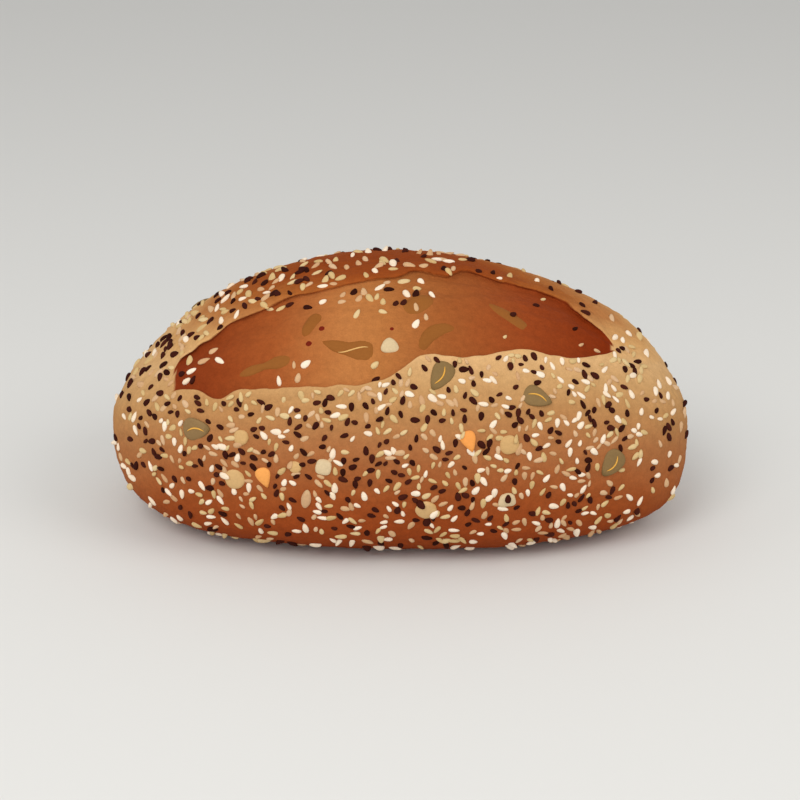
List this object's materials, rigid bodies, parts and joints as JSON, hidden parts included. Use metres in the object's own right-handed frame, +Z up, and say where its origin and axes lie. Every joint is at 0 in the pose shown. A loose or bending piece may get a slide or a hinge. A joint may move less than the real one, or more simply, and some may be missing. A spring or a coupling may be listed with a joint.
{
  "type": "seeded sourdough loaf",
  "caption": "Oval hearth loaf with a domed, seed-crusted top, one long open cut with a raised ear along it, and a flat base to rest on.",
  "frame": {"origin": "centre of the box round the loaf, on the surface it rests on", "axes": "+X along the loaf's length, to the right as the picture shows it; -Y out of the front, towards which the cut opens; +Z up"},
  "size_m": [0.2433, 0.1452, 0.1114],
  "materials": {
    "crust": "baked crust, dull, with fused seeds"
  },
  "bodies": {
    "root": {"loaf": "crust"}
  },
  "joints": []
}
